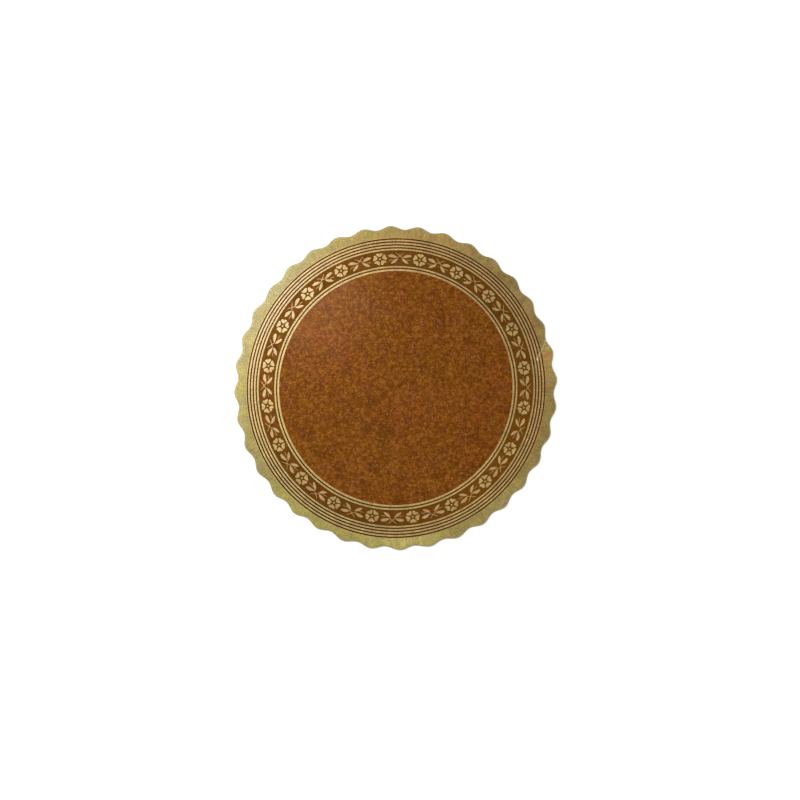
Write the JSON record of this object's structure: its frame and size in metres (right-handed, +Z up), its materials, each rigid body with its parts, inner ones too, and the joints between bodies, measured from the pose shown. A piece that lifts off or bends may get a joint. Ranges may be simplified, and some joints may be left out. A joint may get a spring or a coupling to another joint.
{
  "type": "cake board",
  "caption": "Round scalloped cake board: a thin laminated card disc with a gold face, brown printed centre, thin rings and a band of flowers and leaf sprigs.",
  "frame": {"origin": "middle of the underside, on the surface that the board lies on", "axes": "+Z up, out of the printed side; +Y towards the top of the picture and +X towards its right, with a flower's middle 7.8 degrees anticlockwise of +X"},
  "size_m": [0.2798, 0.2798, 0.0025],
  "materials": {
    "gold_card": "satin gold foil laminate on a die-cut card disc",
    "brown_print": "mottled brown print with a soft sheen"
  },
  "bodies": {
    "root": {"board": "gold_card", "outer_line_1": "brown_print", "outer_line_2": "brown_print", "outer_line_3": "brown_print", "outer_line_4": "brown_print", "floral_band": "brown_print", "inner_line": "brown_print", "centre_print": "brown_print"}
  },
  "joints": []
}
